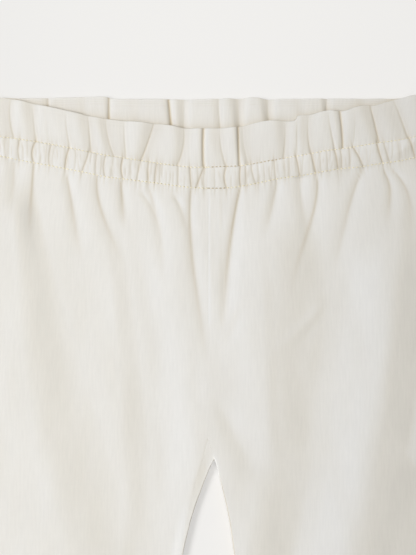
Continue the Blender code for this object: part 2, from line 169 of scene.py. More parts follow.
# The valleys between the frills' waves, from the free edge down to the stitching. left and right are the
# widths of their two sides. A valley may end in a sharp crease, whose core goes from core_edge at the free
# edge to core_row at the stitching.
Valley = namedtuple("Valley", "x_edge x_middle x_row left right depth core_edge core_row")
FRONT_VALLEYS = rows_of(Valley, [
    (-119, -118, -116.5, 3, 3, 0.16, 0, 0.2), (-108.4, -108.9, -106.7, 6, 3, 0.25, 0.1, 0.4),
    (-96.3, -95.8, -94.6, 3.5, 3, 0.26, 0, 0.3), (-89.1, -88.6, -86.9, 4, 4, 0.06, 0, 0.1),
    (-78.1, -77.6, -75.9, 4, 4, 0.08, 0, 0.4), (-66, -65.2, -64.4, 3.5, 4.2, 0.26, 0.1, 0.5),
    (-56.1, -55, -51.7, 2.8, 6, 0.3, 0.1, 0.35), (-46.2, -45.9, -45.1, 3, 3, 0.14, 0.05, 0.4),
    (-29.7, -33, -36.9, 3, 6.5, 0.3, 0.3, 0.6), (-13.2, -13.6, -17, 2.8, 4.4, 0.3, 0.15, 0.45),
    (-2.5, -2.75, -2.5, 1.2, 1.6, 0.12, 0.95, 0.95), (6.6, 7.2, 9.9, 3, 3.4, 0.16, 0.05, 0.45),
    (16.5, 16.8, 17.2, 1.2, 1.8, 0.12, 0.95, 0.9), (19.6, 19.8, 22.6, 2, 5.5, 0.28, 0, 0.2),
    (42.4, 42.4, 41.4, 2.8, 3.6, 0.26, 0, 0.45), (49, 49, 49, 1.5, 1.2, 0.04, 0, 0.35),
    (55.5, 55, 56.7, 3.2, 4, 0.2, 0.05, 0.5), (66, 67.6, 69.9, 2, 2, 0.05, 0, 0.55),
    (72.4, 73.6, 74.1, 1.6, 2.2, 0.18, 0.75, 0.85), (80.9, 80.9, 79.8, 4, 4, 0.05, 0, 0.2),
    (89.2, 91.7, 94.1, 3.4, 4.5, 0.30, 0.35, 0.7), (102, 106.2, 110, 6.5, 4, 0.24, 0.1, 0.5),
    (118.5, 118.5, 118.5, 2.4, 2.4, 0.2, 0, 0.2),
])
BACK_VALLEYS = rows_of(Valley, [
    (-117, -117, -117, 2.2, 2.2, 0.20, 0, 0), (-104, -104, -104, 2.4, 2.4, 0.10, 0, 0),
    (-88.2, -88.2, -88.2, 1.6, 1.6, 0.15, 0.4, 0.5), (-68.2, -68.2, -68.2, 2.4, 2.4, 0.08, 0, 0),
    (-54.6, -54.6, -54.5, 1.4, 2, 0.15, 0.8, 0.8), (-38.5, -38.5, -38.5, 3.6, 2.6, 0.06, 0, 0),
    (-21.8, -21, -20.2, 1.5, 2, 0.2, 1, 1), (-13.2, -13.2, -13.2, 2.4, 2.4, 0.28, 0.1, 0.15),
    (5.7, 6, 6.9, 2, 2, 0.16, 0.3, 0.35), (16.8, 17, 17.4, 2.4, 2.8, 0.42, 0, 0.3),
    (33, 33.2, 33.6, 2.2, 2.6, 0.42, 0.15, 0.4), (50.6, 50.6, 50.6, 2.4, 2.4, 0.08, 0, 0),
    (65.2, 65.4, 65.5, 1.5, 2, 0.3, 0.3, 0.3), (84.7, 84.7, 84.7, 2.4, 2.4, 0.10, 0, 0),
    (102, 102, 102, 2.4, 2.4, 0.15, 0, 0), (117, 117, 117, 2.2, 2.2, 0.20, 0, 0),
])

# The gathers of the casing, from the upper row of stitching to the lower one, bowed sideways on the way.
Crease = namedtuple("Crease", "x_upper x_lower bow depth")
CREASES = rows_of(Crease, [
    (-118, -118.5, -0.5, 0.7), (-111, -111, -0.6, 0.45), (-103.4, -103.7, -0.8, 0.75),
    (-94.7, -95.9, -1.4, 0.95), (-85.8, -87.2, -0.9, 0.6), (-83.6, -85.3, -0.8, 0.35),
    (-76.2, -78.6, -0.5, 0.95), (-65.5, -69.3, 0.2, 0.8), (-61, -61.8, -0.3, 0.6),
    (-56.1, -56.7, -0.9, 0.7), (-51.7, -52.3, -0.4, 0.35), (-46.8, -46.8, -0.9, 0.95),
    (-41.6, -42.4, -0.5, 0.35), (-36.9, -39.1, -0.2, 0.7), (-32.5, -32.7, -0.4, 0.75),
    (-28.1, -29.2, -0.3, 0.7), (-25.9, -26.4, -0.2, 0.5), (-16.2, -16.2, -0.3, 0.5),
    (-9.9, -9.2, -0.1, 0.9), (-2.2, -6.6, 0, 0.85), (-1.9, -1.9, -0.3, 0.5), (10.1, 10.3, -1.2, 0.9),
    (17.9, 17.9, -0.4, 0.95), (20.7, 20.7, 0.1, 0.6), (24, 26.4, -0.6, 0.65), (30.6, 31.4, 0.1, 0.3),
    (36.6, 37.4, -0.2, 0.65), (42, 42.6, 0.2, 0.35), (44.6, 44.8, 0.2, 0.5), (48.4, 50.4, 0.2, 0.9),
    (57, 59.4, -0.2, 0.9), (61.6, 62.4, 0, 0.4), (65.5, 66, 0, 0.4), (69.6, 71.5, 0.3, 0.95),
    (72.8, 73.6, 0.4, 0.65), (77.6, 78.3, 0.2, 0.4), (79.8, 85.3, 0.3, 0.9), (93, 96.3, -0.3, 1),
    (96.9, 100.2, -0.4, 0.6), (104.4, 106, 0, 0.35), (110.6, 113.9, 0.2, 0.9), (118, 118.5, 0.3, 0.7),
])

# How far the fronts puff up above the backs at the wearer's right side, by level: 2 is the lower stitched
# row, 3 the crotch, 4 the hem.
Puff = namedtuple("Puff", "level rise")
PUFFS = rows_of(Puff, [
    (2, 2.4), (2.2, 3.8), (2.6, 4.2), (3, 4.4), (3.1, 3.5), (3.3, 2.9), (4, 1.2),
])

# The broad slopes of the legs. Across one of them the cloth rises towards the wearer's left, or falls where
# rise is below 0. The four x are even steps along it; its width and rise change along it too.
Slope = namedtuple("Slope", "first last x1 x2 x3 x4 start end rise_first rise_last")
SLOPES = rows_of(Slope, [
    (40, 300, -102, -89.4, -70.5, -50, 11, 60, -2.6, -3.3),
    (108, 152, 64, 63, 62, 60, 9, 12, -0.35, -0.35),
    (70, 310, -52.5, -42.9, -39, -48, 10, 20, -0.7, -1.3),
    (75, 310, -31.9, -19, -16.5, -25, 20, 24, 1.2, 1.6),
    (60, 190, 14.4, 17.6, 18.7, 19.4, 28, 28, 1.1, 0.9),
    (200, 330, 2.5, 3, 3, 3, 8, 10, 3.3, 4.2),
    (70, 290, 48.5, 49.5, 41, 28.5, 30, 30, -2.5, -2.9),
    (100, 200, 34, 34, 35.5, 37, 8, 8, -0.4, -0.3),
    (80, 290, 91, 84, 71, 50, 36, 38, 2.5, 3.2),
    (60, 330, 121, 111, 98, 84, 30, 48, -3.6, -4.6),
    (30, 330, 119, 117, 117, 119, 22, 24, -1.2, -1.8),
])

# The troughs below the waist: narrow where they leave the gathers, and broad lower down. The four x are
# even steps along a trough. It is start and end wide on its left, and depth changes along it too. shade is
# how much painted shade it has where it is narrow.
Fold = namedtuple("Fold", "first last x1 x2 x3 x4 start end depth_first depth_last shade")
FOLDS = rows_of(Fold, [
    (36, 84, -95.4, -96.8, -97.6, -98.4, 1.6, 6, 0.25, 0.1, 0.65),
    (110, 146, 70, 57, 45, 31, 4, 5, -0.3, -0.3, 0),
    (34, 72, -106.6, -106.8, -107.4, -108, 2.2, 4, 0.55, 0.4, 0.25),
    (42, 96, -78, -74.8, -71.8, -68, 1.6, 4, 0.5, 0.35, 0.45),
    (42, 96, -60.6, -59.4, -52.8, -46, 1.4, 5, 0.35, 0.45, 0.55),
    (46, 76, -47.9, -47.2, -46.4, -45.6, 1.4, 3, 0.5, 0.3, 0.6),
    (52, 110, -37.5, -27.2, -24.8, -22, 1.6, 4, 0.35, 0.5, 0.15),
    (49, 72, -33, -30.5, -28.5, -27, 1.2, 2.5, 0.3, 0.2, 0.3),
    (54, 80, -19.5, -14.6, -12, -10, 1.2, 3, 0.4, 0.35, 0.2),
    (50, 158, -9.2, -8.9, -4, 0.6, 1.3, 4.5, 0.45, 0.45, 0.6),
    (50, 138, 17.8, 12.5, 9.4, 8, 1.2, 4, 0.45, 0.5, 0.75),
    (46, 82, 38.3, 35.8, 33.2, 30.3, 1.6, 4, 0.6, 0.45, 0.4),
    (40, 86, 49.8, 51, 53.5, 54, 2, 4, 0.45, 0.5, 0.2),
    (44, 116, 60.2, 57, 49.5, 46.5, 1.4, 8, 0.5, 0.2, 0.6),
    (37, 108, 86.4, 77.8, 72.2, 66, 1.6, 5, 0.45, 0.45, 0.4),
    (40, 76, 96, 100.2, 99.6, 100.4, 1.4, 4, 0.5, 0.4, 0.55),
    (39, 78, 99.5, 109.5, 111.6, 112, 1.8, 4.5, 0.55, 0.5, 0.4),
    (160, 228, 3.9, 13.8, 25.3, 31.4, 4, 9, 0.8, 0.9, 0),
    (112, 140, 67.1, 61.6, 55, 47.3, 3, 3, 0.25, 0.25, 0),
    (112, 142, 19.8, 16.5, 13, 8.8, 3, 3, 0.25, 0.25, 0),
    (300, 385, -118, -106, -93, -80, 6, 9, 1, 1, 0),
    (322, 408, -50, -61, -74, -92, 6, 9, 0.9, 0.9, 0),
    (312, 398, 112, 100, 87, 72, 6, 9, 1, 1, 0),
    (336, 430, 52, 63, 78, 96, 6, 9, 0.9, 0.9, 0),
    (452, 522, -128, -116, -104, -92, 6, 9, 0.7, 0.7, 0),
    (446, 524, 122, 112, 100, 86, 6, 9, 0.7, 0.7, 0),
])

# Slow unevenness of the cloth: wave lengths across and down, height, and where each wave starts.
Swell = namedtuple("Swell", "across down height start")
SWELLS = rows_of(Swell, [
    (61, 150, 0.10, 0.4), (-47, 97, 0.08, 1.9), (33, -120, 0.04, 3.1), (23, 71, 0.03, 5.2),
    (-19, 143, 0.02, 2.3), (29, -53, 0.03, 0.9), (-14, 61, 0.014, 4.1), (11, 83, 0.01, 2.7),
])

# The rows of points down a panel: the levels from first to last, and the steps down and across.
Band = namedtuple("Band", "first last rows steps")
FRONT_BANDS = rows_of(Band, [
    (0.05, 0.97, 34, 420), (0.975, 1.025, 5, 420), (1.05, 1.95, 24, 420), (1.965, 2.035, 5, 420),
    (2.05, 2.16, 18, 420), (2.17, 3, 95, 150), (3.004, 3.2, 48, 130), (3.205, 3.965, 110, 62),
    (HEM_LEVEL, 3.972, 3, 62), (3.975, 3.996, 5, 62),
])
BACK_BANDS = rows_of(Band, [
    (2, 3, 12, 30), (3.0002, 3.005, 12, 30), (3.007, 3.05, 22, 30), (3.055, 3.2, 40, 30),
    (3.22, 3.99, 40, 20),
])
BACK_FRILL_ROWS = 30
FRILL_STEPS = 300
EDGE_STEPS = (0.0, 0.05, 0.16, 0.32, 0.5, 0.8)  # how far from a turned edge the points beside it lie
EDGE_SPACING = 0.3  # and from one point to the next where they are still close
INSIDE_ROWS = 2  # a panel's inner face has a point at every second row and every third place across
INSIDE_STEPS = 3

# Where the thread of the stitched rows, by level, is a darker length.
DarkThread = namedtuple("DarkThread", "level first last")
DARK_THREADS = rows_of(DarkThread, [
    (1, 0.5, 18), (1, 24.7, 42), (2, 0, 10),
])


def mix(a, b, share):
    return a + (b - a) * share


def ease(value):
    """0 up to 0, 1 from 1 on, and smooth between."""
    value = np.clip(value, 0.0, 1.0)
    return value * value * (3.0 - 2.0 * value)


def curve_through(rows, key, column, at):
    """A smooth curve through one column of a table, read at values of its key column."""
    keys = np.array([getattr(row, key) for row in rows], float)
    values = np.array([getattr(row, column) for row in rows], float)
    slopes = np.empty_like(values)
    slopes[1:-1] = (values[2:] - values[:-2]) / (keys[2:] - keys[:-2])
    slopes[0] = (values[1] - values[0]) / (keys[1] - keys[0])
    slopes[-1] = (values[-1] - values[-2]) / (keys[-1] - keys[-2])
    at = np.clip(np.asarray(at, float), keys[0], keys[-1])
    i = np.clip(np.searchsorted(keys, at, side="right") - 1, 0, len(keys) - 2)
    span = keys[i + 1] - keys[i]
    share = (at - keys[i]) / span
    return (
        values[i] * (2 * share**3 - 3 * share**2 + 1)
        + values[i + 1] * (3 * share**2 - 2 * share**3)
        + slopes[i] * span * (share**3 - 2 * share**2 + share)
        + slopes[i + 1] * span * (share**3 - share**2)
    )


def half_width(down):
    return curve_through(SIDES, "down", "half_width", down)


def waist(column, x):
    return curve_through(WAIST, "x", column, x)


def inseam(column, down):
    return curve_through(INSEAMS, "down", column, down)


def below_crotch(down, start, width):
    """0 down to start below the crotch, 1 from width further down, smooth between."""
    return ease((down - CROTCH_DOWN - start) / width)


Panel = namedtuple("Panel", "name side")
FRONT_LEFT = Panel("front_left", 1)
FRONT_RIGHT = Panel("front_right", -1)
BACK_LEFT = Panel("back_left", 1)
BACK_RIGHT = Panel("back_right", -1)


def inner_edge(panel, down):
    """The x of a panel's centre seam, or of its inseam below the crossing."""
    clear = SEAM_CLEARANCE / 2 * panel.side
    return np.where(down <= CROTCH_DOWN, 0.0, inseam(panel.name, down)) + clear


def hem_down(x):
    """The hem of a leg, square to the leg and so tilted on the floor."""
    inner, outer = INSEAMS[-1].front_left, SIDES[-1].half_width
    return LENGTH - HEM_TILT * (abs(x) - inner) / (outer - inner)


def down_at(level, x):
    """How far down a level lies: 0 the frill's edge, 1 and 2 the stitched rows, 3 the crotch, 4 the hem."""
    if level < 1.0:
        return mix(waist("frill_edge", x), waist("upper_row", x), level)
    if level < 2.0:
        return mix(waist("upper_row", x), waist("lower_row", x), level - 1.0)
    if level < 3.0:
        return mix(waist("lower_row", x), CROTCH_DOWN, level - 2.0)
    return mix(CROTCH_DOWN, hem_down(x), level - 3.0)


def row_ends(level, panel):
    """The x where a level meets the centre seam or inseam, and where it meets the side seam."""
    inner, outer = 0.0, half_width(CROTCH_DOWN) * panel.side
    for _ in range(6):
        inner = inner_edge(panel, down_at(level, inner))
        outer = half_width(down_at(level, outer)) * panel.side
    return float(inner), float(outer)


def trough(x, place, width, edge):
    """1 at a place and nothing well past the width from it. A low edge makes its bottom sharp."""
    return np.exp(-((np.abs(x - place) / width) ** edge))


def valley_place(valley, share_down):
    """Where a valley lies, on a smooth curve through its three places."""
    bow = valley.x_middle - (valley.x_edge + valley.x_row) / 2
    return mix(valley.x_edge, valley.x_row, share_down) + bow * 4 * share_down * (1 - share_down)


def frill_waves(valleys, share_down, x):
    """How deep a frill's valleys cut, 0 to 1, at a share of the way from its edge to its stitching."""
    crest = np.ones_like(x)
    for v in valleys:
        place = valley_place(v, share_down)
        width = np.where(x < place, v.left, v.right) * mix(1.45, 0.9, share_down)
        crest *= 1.0 - 1.25 * v.depth * trough(x, place, width, 2.0)
    return 1.0 - crest


def frill_cores(valleys, share_down, x):
    """How deep the sharp creases in the valleys cut, 0 to 1."""
    crest = np.ones_like(x)
    for v in valleys:
        core = mix(v.core_edge, v.core_row, share_down)
        crest *= 1.0 - core * trough(x, valley_place(v, share_down), 0.45 + 0.3 * core, 1.6)
    return 1.0 - crest


def crease_place(crease, share_down):
    """Where a crease of the casing lies, at a share of the way down it."""
    return mix(crease.x_upper, crease.x_lower, share_down) + crease.bow * 4 * share_down * (1 - share_down)


Ripple = namedtuple("Ripple", "x_upper x_lower bow depth upper_end lower_end")


def make_ripples():
    """The finest gathers, between the ones in the table. Some run only part of the way across the casing."""
    chance = np.random.default_rng(11)
    ripples = []
    x = -125.0
    while x < 125.0:
        lean, bow, depth = chance.normal(0.0, 0.7), chance.normal(0.0, 0.4), chance.uniform(0.08, 0.34)
        ripples.append(Ripple(x, x + lean, bow, depth, chance.uniform(-0.6, 0.5), chance.uniform(0.5, 1.6)))
        x += chance.uniform(1.0, 2.4)
    return ripples


RIPPLES = make_ripples()


def casing_gathers(share_down, x):
    """How deep the casing's creases cut, 0 to 1."""
    crest = np.ones_like(x)
    for crease in CREASES:
        place = crease_place(crease, share_down)
        crest *= 1.0 - crease.depth * (0.6 * trough(x, place, 0.5, 1.3) + 0.28 * trough(x, place, 1.7, 1.6))
    for ripple in RIPPLES:
        runs = ease((share_down - ripple.upper_end) * 3.0) * ease((ripple.lower_end - share_down) * 3.0)
        crest *= 1.0 - ripple.depth * runs * trough(x, crease_place(ripple, share_down), 0.6, 1.5)
    return 1.0 - crest


def crease_tails(x, away, above):
    """How deep the creases still cut this far above or below the casing."""
    depth = np.zeros_like(x)
    for crease in CREASES + RIPPLES:
        cut = crease.depth * (1.0 if isinstance(crease, Crease) else 1.9)
        place = crease.x_upper if above else crease.x_lower
        lean = (crease.x_upper - crease.x_lower) * 0.05 * away * (1 if above else -1)
        reach = (2.2 if above else 2.8) * (0.3 + cut)
        depth += cut * np.exp(-away / reach) * trough(x, place + lean, 0.5 + 0.08 * away, 1.4)
    return depth


def bend(points, share):
    """A smooth curve through four points at even steps."""
    s = 3.0 * share
    return (
        -points[0] * (s - 1) * (s - 2) * (s - 3) / 6
        + points[1] * s * (s - 2) * (s - 3) / 2
        - points[2] * s * (s - 1) * (s - 3) / 2
        + points[3] * s * (s - 1) * (s - 2) / 6
    )


def along_line(line, down):
    """How far along a fold or a slope a level is, 0 to 1, and the x of its middle there."""
    along = np.clip((down - line.first) / (line.last - line.first), 0.0, 1.0)
    return along, bend((line.x1, line.x2, line.x3, line.x4), along)


def fold_depth(fold, x, down):
    """How deep one trough is. Its right side is gentler than its left one."""
    along, centre = along_line(fold, down)
    width = mix(fold.start, fold.end, along ** 0.7) * np.where(x < centre, 1.0, FOLD_WIDENED)
    starts_at_gathers = fold.first < CROTCH_DOWN / 3
    begin = ease((down - fold.first + 1.0) / 3.0) if starts_at_gathers else ease(along / 0.35)
    taper = ease((1.0 - along) / 0.5) * begin
    return mix(fold.depth_first, fold.depth_last, along) * taper * trough(x, centre, width, 1.8)


def slope_rise(slope, x, down):
    """How much higher one broad slope makes the cloth."""
    reached = (down - slope.first) / (slope.last - slope.first)
    fade = ease(reached / 0.15 + 0.3) * ease((1.15 - reached) / 0.3)
    along, centre = along_line(slope, down)
    width = mix(slope.start, slope.end, along)
    rise = mix(slope.rise_first, slope.rise_last, along)
    return rise * fade * ease((x - centre) / width + 0.5)


def pressed(rise):
    """The rise, eased to no less than where the front lies pressed onto the back."""
    above = rise - FLATTEST
    return FLATTEST + (above + np.sqrt(above**2 + 0.3)) / 2


def painted_fold_shade(fold, x, down):
    """How much painted shade a trough has: much where it is narrow, nothing where it is broad."""
    along, centre = along_line(fold, down)
    dark = fold.shade * ease((1.0 - along) / 0.8) * ease((down - fold.first + 1.0) / 3.0)
    return dark * trough(x, centre - 0.2, 0.6 + 1.2 * along, 1.5)


def swell_height(x, down):
    """The cloth's slow unevenness."""
    total = np.zeros_like(x)
    for swell in SWELLS:
        total += swell.height * np.sin(2 * math.pi * (x / swell.across + down / swell.down) + swell.start)
    return total


def edge_share(panel, x, level, ends):
    """0 at a side seam, 1 further in than the roll, smooth between."""
    roll = mix(WAIST_ROLL, RIGHT_ROLL if panel.side < 0 else LEFT_ROLL, ease((level - 1.0) / 1.5))
    reach = np.minimum(np.abs(ends[1] - x) / roll, 1.0)
    return mix(ease(reach), np.sqrt(1.0 - (1.0 - reach) ** 2), 0.3)


def strip_share(down):
    """1 where the back comes round the wearer's right inseam, 0 lower down."""
    return ease((inseam("back_right", down) - inseam("front_right", down) - 0.05) / 0.6)


def open_edge(panel, x, down):
    """How far a place is from its panel's open inner edge, and how much that edge curls down to the floor."""
    if panel.side > 0:
        return x - inner_edge(panel, down), below_crotch(down, 11.0, 3.0)
    edge = np.maximum(inner_edge(panel, down), inner_edge(BACK_RIGHT, down))
    return edge - x, below_crotch(down, 9.0, 6.0)


def edge_drop(panel, x, down, ends):
    """0 at an edge that curls down to the floor, 1 further in."""
    drop = np.minimum(np.abs(ends[1] - x) / SIDE_DROP, 1.0)
    inset, curls = open_edge(panel, x, down)
    inner = np.clip(inset / INSEAM_DROP, 0.0, 1.0)
    drop = np.minimum(drop, 1.0 - (1.0 - inner) * curls)
    return np.sqrt(np.maximum(0.0, 1.0 - (1.0 - drop) ** 2))


def seam_rise(x, down):
    """The pressed allowance that shows through beside the centre seam."""
    across = ease(x / 1.6) * ease((ALLOWANCE_WIDTH + 0.6 - x) / 2.4)
    return ALLOWANCE_RISE * across * ease((ALLOWANCE_END - down) / 3.0) * ease((down - 48.0) / 12.0)


def front_surface(settings, panel, x, level, ends):
    """The height of a front's outer face, and the painted shade at each point, in its creases and along its
    edges.
    """
    down = down_at(level, x)
    roll = edge_share(panel, x, level, ends)
    upper, lower = waist("upper_row", x), waist("lower_row", x)
    pull = 0.35 + 0.65 * np.cos(math.pi * x / STITCH_PITCH) ** 2
    pinch = (trough(down, upper, STITCH_PINCH, 2.0) + trough(down, lower, STITCH_PINCH, 2.0)) * pull
    if level <= 1.0:
        lift = mix(settings.pinch, settings.frill_lift, ease((1.0 - level) / 0.9))
        waves = frill_waves(FRONT_VALLEYS, level, x)
        cores = frill_cores(FRONT_VALLEYS, level, x)
        tails = crease_tails(x, upper - down, True)
        rise = lift * (1.0 - waves) - settings.core_cut * cores - 0.25 * tails
        rise -= 0.04 * trough(down - down_at(0.0, x), TURNED_EDGE, 0.3, 2.0)
        # Painted shade in the frill's sharp creases, in its valleys and in the gathers' tails.
        hidden = np.maximum(0.9 * cores, 0.6 * tails) + 0.5 * waves
    elif level < 2.0:
        swell = math.sin(math.pi * (level - 1.0)) ** 0.7
        gathers = casing_gathers(level - 1.0, x)
        rise = mix(settings.pinch, settings.casing_puff, swell) - settings.crease_cut * gathers
        # Painted shade in the casing's gathers.
        hidden = gathers**1.3
    else:
        puff = curve_through(PUFFS, "level", "rise", level)
        puff = puff + sum(slope_rise(slope, x, down) for slope in SLOPES)
        puff = mix(settings.pinch, puff, ease((level - 2.0) / 0.2))
        folds = sum(fold_depth(fold, x, down) for fold in FOLDS)
        tails = crease_tails(x, down - lower, False)
        inset, _ = open_edge(panel, x, down)
        rise = pressed(puff - folds - 0.25 * tails)
        # Painted shade in the narrow troughs and in the gathers' tails.
        hidden = np.maximum(sum(painted_fold_shade(fold, x, down) for fold in FOLDS), 0.5 * tails)
        if panel.side > 0:
            # A painted dark line of shade along the turned edge of the wearer's left inseam.
            line = below_crotch(down, 16.0, 12.0) * ease(1.0 - inset / INSEAM_PAINTED_SHADE_WIDTH)
            hidden = np.maximum(hidden, INSEAM_PAINTED_SHADE * line)
        else:
            near = below_crotch(down, 2.0, 25.0) * (1.0 - ease(inset / LOW_WIDTH))
            rise = mix(rise, LOW_EDGE, near)
        if panel.side < 0 and level > 3.0:
            # Painted shade along the seam where the back comes round the right inseam.
            tint = SEAM_PAINTED_SHADE * ease(strip_share(down) * 4.0) * mix(1.0, 0.3, below_crotch(down, 10.0, 14.0))
            hidden = np.maximum(hidden, tint * trough(x, inner_edge(panel, down), 0.7, 2.0))
    rise = rise + swell_height(x, down) * ease((level - 1.0) / 1.6)
    rise = np.where(rise > 0.0, rise * roll, rise) - settings.stitch_pull * pinch
    if panel.side > 0:
        rise += seam_rise(x, down)
    rise += HEM_RISE * ease((level - HEM_LEVEL) / 0.005)
    drop = edge_drop(panel, x, down, ends)
    top = mix(DROP_TOP, FRONT_FLOOR + WALL + np.maximum(rise, FLATTEST), drop)
    return top, np.clip(hidden, 0.0, 1.0)


def back_surface(settings, x, share, down, front_edge):
    """A back frill's rise off the floor, and the painted shade at each point, in its valleys and as a shadow
    under the front's edge.
    """
    gap = front_edge - down
    lift = settings.back_frill_lift * mix(0.45, 1.0, ease((gap + 1.5) / 1.4))
    waves = frill_waves(BACK_VALLEYS, share, x)
    cores = frill_cores(BACK_VALLEYS, share, x)
    from_edge = down - waist("back_edge", x)
    line = sum(trough(from_edge, place, 0.22, 2.0) for place in (1.6, TURNED_EDGE, 3.9))
    rise = lift * (1.0 - waves) - 0.8 * settings.core_cut * cores - 0.03 * line
    # Painted shade: in the valleys and turned lines, and a painted contact shadow just under the front
    # frill's edge.
    painted_contact_shadow = 0.34 * np.exp(-np.maximum(gap, 0.0) / 2.4) + 0.06 * np.exp(-np.maximum(gap, 0.0) / 6.0)
    hidden = np.maximum(np.maximum(cores, 0.5 * waves), 0.1 * line) + painted_contact_shadow
    return np.maximum(rise, 0.0), np.clip(hidden, 0.0, 1.0)


def across(ends, steps, fine=0.8):
    """Places across a row, close together at its two turned edges and for the fine width at the inner one."""
    inner, outer = ends
    width = abs(outer - inner)
    close = np.array(EDGE_STEPS)
    begin = np.concatenate([close, np.arange(1.1, fine, EDGE_SPACING)])
    side = 1.0 if outer > inner else -1.0
    middle = np.linspace(begin[-1] + EDGE_SPACING, width - close[-1] - EDGE_SPACING, steps)
    return inner + side * np.concatenate([begin, middle, width - close[::-1]])


def rounded(inset):
    """How much of half a turned edge's thickness is gone this far in from the edge."""
    reach = np.clip(inset / EDGE_ROUND, 0.0, 1.0)
    return 1.0 - np.sqrt(np.maximum(0.0, 1.0 - (1.0 - reach) ** 2))


Row = namedtuple("Row", "x down top bottom hidden")


def wall_row(x, down, top, floor, hidden, inset, wall):
    """A row of a panel with its outer and inner faces, the wall's thickness kept where the cloth is steep."""
    slope = np.gradient(top, x)
    bottom = np.maximum(floor, top - wall * np.sqrt(1.0 + slope**2))
    bottom = np.minimum(bottom, top - 0.35 * wall)
    trim = rounded(inset) * (top - bottom) * 0.46
    return Row(x, down, top - trim, bottom + trim, hidden)


def front_rows(settings, panel):
    """Every row of a front, from its frill edge to its hem."""
    levels = [(inset / FRILL_HEIGHT, FRILL_STEPS) for inset in EDGE_STEPS]
    for band in FRONT_BANDS:
        levels += [(level, band.steps) for level in np.linspace(band.first, band.last, band.rows)]
    levels += [(4.0 - inset / LEG_LENGTH, FRONT_BANDS[-1].steps) for inset in EDGE_STEPS[-2::-1]]
    rows = []
    for level, steps in levels:
        ends = row_ends(level, panel)
        x = across(ends, steps)
        down = down_at(level, x)
        top, hidden = front_surface(settings, panel, x, level, ends)
        if level < 1.0:
            dip = settings.pleat_dip * frill_waves(FRONT_VALLEYS, 0.0, x)
            down = down + dip * ease((0.5 - level) / 0.5)
        from_inner, from_outer = np.abs(x - ends[0]), np.abs(x - ends[1])
        floor = FRONT_FLOOR * ease((from_outer - 0.8) / 0.5)
        curls = below_crotch(down, 11.0, 3.0)
        if panel.side < 0:
            curls = curls * (1.0 - strip_share(down))
        floor = floor * (1.0 - curls * (1.0 - ease((from_inner - 0.8) / 0.5)))
        inset = np.minimum(from_inner + EDGE_ROUND * (1.0 - curls), from_outer)
        inset = np.minimum(inset, min(level * 40.0 + 0.2, (4.0 - level) * LEG_LENGTH))
        turned = 1.0 + 0.6 * float(ease(1.0 - level * 8.0))
        rows.append(wall_row(x, down, top, floor, hidden, inset, settings.cloth * turned))
    return rows


def strip_top(settings, x, down, level):
    """The outer face of the right back where it comes round the inseam and shows beside the front."""
    ends = row_ends(level, FRONT_RIGHT)
    seam = inner_edge(FRONT_RIGHT, down)
    level_there = (float(down[0]) - CROTCH_DOWN) / (hem_down(float(x[0])) - CROTCH_DOWN) + 3.0
    beside, hidden = front_surface(settings, FRONT_RIGHT, np.maximum(x, seam), level_there, ends)
    tuck = np.maximum(seam - x, 0.0)
    strip = beside - np.where(tuck > 0.03, settings.cloth + 0.08 + 0.8 * tuck, 0.0)
    covered = inner_edge(FRONT_LEFT, down)
    strip = np.where((x > covered) & (down < CROTCH_DOWN + 16.0), strip - settings.cloth - SEAM_GAP, strip)
    strip = np.maximum(strip, np.where(tuck > 0.03, WALL, DROP_TOP))
    shown = strip_share(down) > 0
    return np.where(shown, strip, WALL), np.where(shown, hidden, 0.0)


def back_rows(settings, panel):
    """Every row of a back. Its frill waves above the front's edge, and the rest lies flat on the floor."""
    rows = []
    ends = float(inner_edge(panel, 0.0)), float(half_width(0.0) - BACK_INSET) * panel.side
    x = across(ends, FRILL_STEPS)
    side_inset = np.minimum(np.abs(x - ends[0]) + EDGE_ROUND, np.abs(x - ends[1]))
    edge, back_edge = waist("frill_edge", x), waist("back_edge", x)
    front_edge = edge + settings.pleat_dip * frill_waves(FRONT_VALLEYS, 0.0, x)
    dip = settings.pleat_dip * 0.7 * frill_waves(BACK_VALLEYS, 0.0, x)
    shares = np.concatenate([[0.0, 0.005, 0.014, 0.028, 0.05], np.linspace(0.08, 1.0, BACK_FRILL_ROWS)])
    for share in shares:
        down = mix(back_edge + dip, np.maximum(edge, 0.6) + 2.0, share)
        rise, hidden = back_surface(settings, x, share, down, front_edge)
        inset = np.minimum(side_inset, share * 14.0)
        rows.append(wall_row(x, down, WALL + rise, 0.0, hidden, inset, settings.cloth))
    for band in BACK_BANDS:
        for level in np.linspace(band.first, band.last, band.rows):
            inner, outer = row_ends(level, panel)
            down = float(down_at(level, inner))
            inner_inset = BACK_INSET * float(below_crotch(down, 9.0, 8.0))
            if panel.side < 0:
                inner_inset *= 1.0 - float(strip_share(down))
            ends = inner + inner_inset * panel.side, outer - BACK_INSET * panel.side
            x = across(ends, band.steps, 10.0 if 3.0 <= level < 3.4 else 0.8)
            if panel.side < 0 and float(strip_share(down)) > 0:
                beside = inner_edge(FRONT_RIGHT, down) + np.array([-1.5, -0.8, -0.3, -0.04, -0.02, 0.03])
                under = inner_edge(FRONT_LEFT, down) + np.array([-0.05, -0.01, 0.02])
                extra = np.concatenate([beside, under])
                x = np.sort(np.concatenate([x, extra[extra < ends[0]]]))[::-1]
            covered_end = EDGE_ROUND * float(1.0 - below_crotch(down, 10.0, 2.0))
            inset = np.minimum(np.abs(x - ends[0]) + covered_end, np.abs(x - ends[1]))
            down = down_at(level, x)
            top, hidden = np.full_like(x, WALL), np.zeros_like(x)
            if panel.side < 0 and level > 3.0:
                top, hidden = strip_top(settings, x, down, level)
            rows.append(wall_row(x, down, top, 0.0, hidden, inset, WALL))
    return rows


